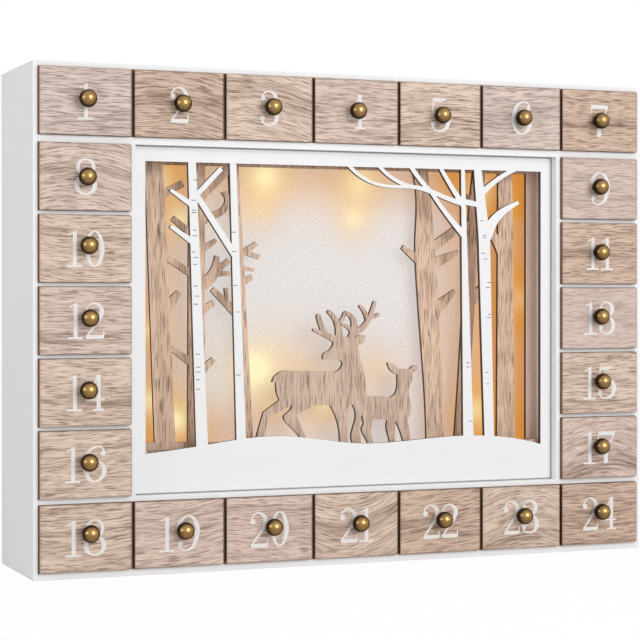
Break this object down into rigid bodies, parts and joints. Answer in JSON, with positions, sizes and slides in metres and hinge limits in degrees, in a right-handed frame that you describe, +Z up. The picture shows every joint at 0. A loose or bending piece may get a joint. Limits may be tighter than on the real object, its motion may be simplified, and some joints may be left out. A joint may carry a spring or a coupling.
{
  "type": "wooden advent calendar",
  "caption": "White wooden cabinet with small oak-fronted drawers, brass ball knobs and serif numbers round a lit layered winter forest scene with a stag and a fawn.",
  "frame": {"origin": "middle of the case's underside, on the surface it stands on", "axes": "+X to the right as seen from the front, +Y to the back, +Z up"},
  "size_m": [0.4, 0.0936, 0.298],
  "materials": {
    "white_paint": "matt white paint",
    "oak_veneer": "matt, pale oak grain",
    "layer_wood": "matt, upright grain",
    "back_board": "matt white hardboard",
    "antique_brass": "polished, darkened",
    "backdrop_cloth": "plain weave, lit from behind",
    "white_plastic": "satin",
    "black_plastic": "satin",
    "lamp_string": "clear wire, warm white lamps"
  },
  "bodies": {
    "case": {"outer_case": "white_paint", "light_box": "white_paint", "drawer_dividers": "white_paint", "back_panel": "back_board", "birch_panel": "white_paint", "deer_layer": "layer_wood", "forest_layer": "layer_wood", "backdrop_cloth": "backdrop_cloth", "battery_box": "white_plastic", "led_string": "lamp_string"},
    "battery_door": {"battery_door": "white_plastic"},
    "switch_slider": {"switch_slider": "black_plastic"},
    "drawer_01": {"drawer_01": "oak_veneer", "knob_01": "antique_brass"},
    "drawer_02": {"drawer_02": "oak_veneer", "knob_02": "antique_brass"},
    "drawer_03": {"drawer_03": "oak_veneer", "knob_03": "antique_brass"},
    "drawer_04": {"drawer_04": "oak_veneer", "knob_04": "antique_brass"},
    "drawer_05": {"drawer_05": "oak_veneer", "knob_05": "antique_brass"},
    "drawer_06": {"drawer_06": "oak_veneer", "knob_06": "antique_brass"},
    "drawer_07": {"drawer_07": "oak_veneer", "knob_07": "antique_brass"},
    "drawer_08": {"drawer_08": "oak_veneer", "knob_08": "antique_brass"},
    "drawer_09": {"drawer_09": "oak_veneer", "knob_09": "antique_brass"},
    "drawer_10": {"drawer_10": "oak_veneer", "knob_10": "antique_brass"},
    "drawer_11": {"drawer_11": "oak_veneer", "knob_11": "antique_brass"},
    "drawer_12": {"drawer_12": "oak_veneer", "knob_12": "antique_brass"},
    "drawer_13": {"drawer_13": "oak_veneer", "knob_13": "antique_brass"},
    "drawer_14": {"drawer_14": "oak_veneer", "knob_14": "antique_brass"},
    "drawer_15": {"drawer_15": "oak_veneer", "knob_15": "antique_brass"},
    "drawer_16": {"drawer_16": "oak_veneer", "knob_16": "antique_brass"},
    "drawer_17": {"drawer_17": "oak_veneer", "knob_17": "antique_brass"},
    "drawer_18": {"drawer_18": "oak_veneer", "knob_18": "antique_brass"},
    "drawer_19": {"drawer_19": "oak_veneer", "knob_19": "antique_brass"},
    "drawer_20": {"drawer_20": "oak_veneer", "knob_20": "antique_brass"},
    "drawer_21": {"drawer_21": "oak_veneer", "knob_21": "antique_brass"},
    "drawer_22": {"drawer_22": "oak_veneer", "knob_22": "antique_brass"},
    "drawer_23": {"drawer_23": "oak_veneer", "knob_23": "antique_brass"},
    "drawer_24": {"drawer_24": "oak_veneer", "knob_24": "antique_brass"}
  },
  "joints": [
    {"name": "drawer_01_slide", "type": "slide", "parent": "case", "child": "drawer_01", "axis": [0, -1, 0], "range_m": [0, 0.065]},
    {"name": "drawer_02_slide", "type": "slide", "parent": "case", "child": "drawer_02", "axis": [0, -1, 0], "range_m": [0, 0.065]},
    {"name": "drawer_03_slide", "type": "slide", "parent": "case", "child": "drawer_03", "axis": [0, -1, 0], "range_m": [0, 0.065]},
    {"name": "drawer_04_slide", "type": "slide", "parent": "case", "child": "drawer_04", "axis": [0, -1, 0], "range_m": [0, 0.065]},
    {"name": "drawer_05_slide", "type": "slide", "parent": "case", "child": "drawer_05", "axis": [0, -1, 0], "range_m": [0, 0.065]},
    {"name": "drawer_06_slide", "type": "slide", "parent": "case", "child": "drawer_06", "axis": [0, -1, 0], "range_m": [0, 0.065]},
    {"name": "drawer_07_slide", "type": "slide", "parent": "case", "child": "drawer_07", "axis": [0, -1, 0], "range_m": [0, 0.065]},
    {"name": "drawer_08_slide", "type": "slide", "parent": "case", "child": "drawer_08", "axis": [0, -1, 0], "range_m": [0, 0.065]},
    {"name": "drawer_09_slide", "type": "slide", "parent": "case", "child": "drawer_09", "axis": [0, -1, 0], "range_m": [0, 0.065]},
    {"name": "drawer_10_slide", "type": "slide", "parent": "case", "child": "drawer_10", "axis": [0, -1, 0], "range_m": [0, 0.065]},
    {"name": "drawer_11_slide", "type": "slide", "parent": "case", "child": "drawer_11", "axis": [0, -1, 0], "range_m": [0, 0.065]},
    {"name": "drawer_12_slide", "type": "slide", "parent": "case", "child": "drawer_12", "axis": [0, -1, 0], "range_m": [0, 0.065]},
    {"name": "drawer_13_slide", "type": "slide", "parent": "case", "child": "drawer_13", "axis": [0, -1, 0], "range_m": [0, 0.065]},
    {"name": "drawer_14_slide", "type": "slide", "parent": "case", "child": "drawer_14", "axis": [0, -1, 0], "range_m": [0, 0.065]},
    {"name": "drawer_15_slide", "type": "slide", "parent": "case", "child": "drawer_15", "axis": [0, -1, 0], "range_m": [0, 0.065]},
    {"name": "drawer_16_slide", "type": "slide", "parent": "case", "child": "drawer_16", "axis": [0, -1, 0], "range_m": [0, 0.065]},
    {"name": "drawer_17_slide", "type": "slide", "parent": "case", "child": "drawer_17", "axis": [0, -1, 0], "range_m": [0, 0.065]},
    {"name": "drawer_18_slide", "type": "slide", "parent": "case", "child": "drawer_18", "axis": [0, -1, 0], "range_m": [0, 0.065]},
    {"name": "drawer_19_slide", "type": "slide", "parent": "case", "child": "drawer_19", "axis": [0, -1, 0], "range_m": [0, 0.065]},
    {"name": "drawer_20_slide", "type": "slide", "parent": "case", "child": "drawer_20", "axis": [0, -1, 0], "range_m": [0, 0.065]},
    {"name": "drawer_21_slide", "type": "slide", "parent": "case", "child": "drawer_21", "axis": [0, -1, 0], "range_m": [0, 0.065]},
    {"name": "drawer_22_slide", "type": "slide", "parent": "case", "child": "drawer_22", "axis": [0, -1, 0], "range_m": [0, 0.065]},
    {"name": "drawer_23_slide", "type": "slide", "parent": "case", "child": "drawer_23", "axis": [0, -1, 0], "range_m": [0, 0.065]},
    {"name": "drawer_24_slide", "type": "slide", "parent": "case", "child": "drawer_24", "axis": [0, -1, 0], "range_m": [0, 0.065]},
    {"name": "battery_door_slide", "type": "slide", "parent": "case", "child": "battery_door", "axis": [1, 0, 0], "range_m": [0, 0.055]},
    {"name": "switch_slide", "type": "slide", "parent": "case", "child": "switch_slider", "axis": [1, 0, 0], "range_m": [0, 0.004]}
  ]
}
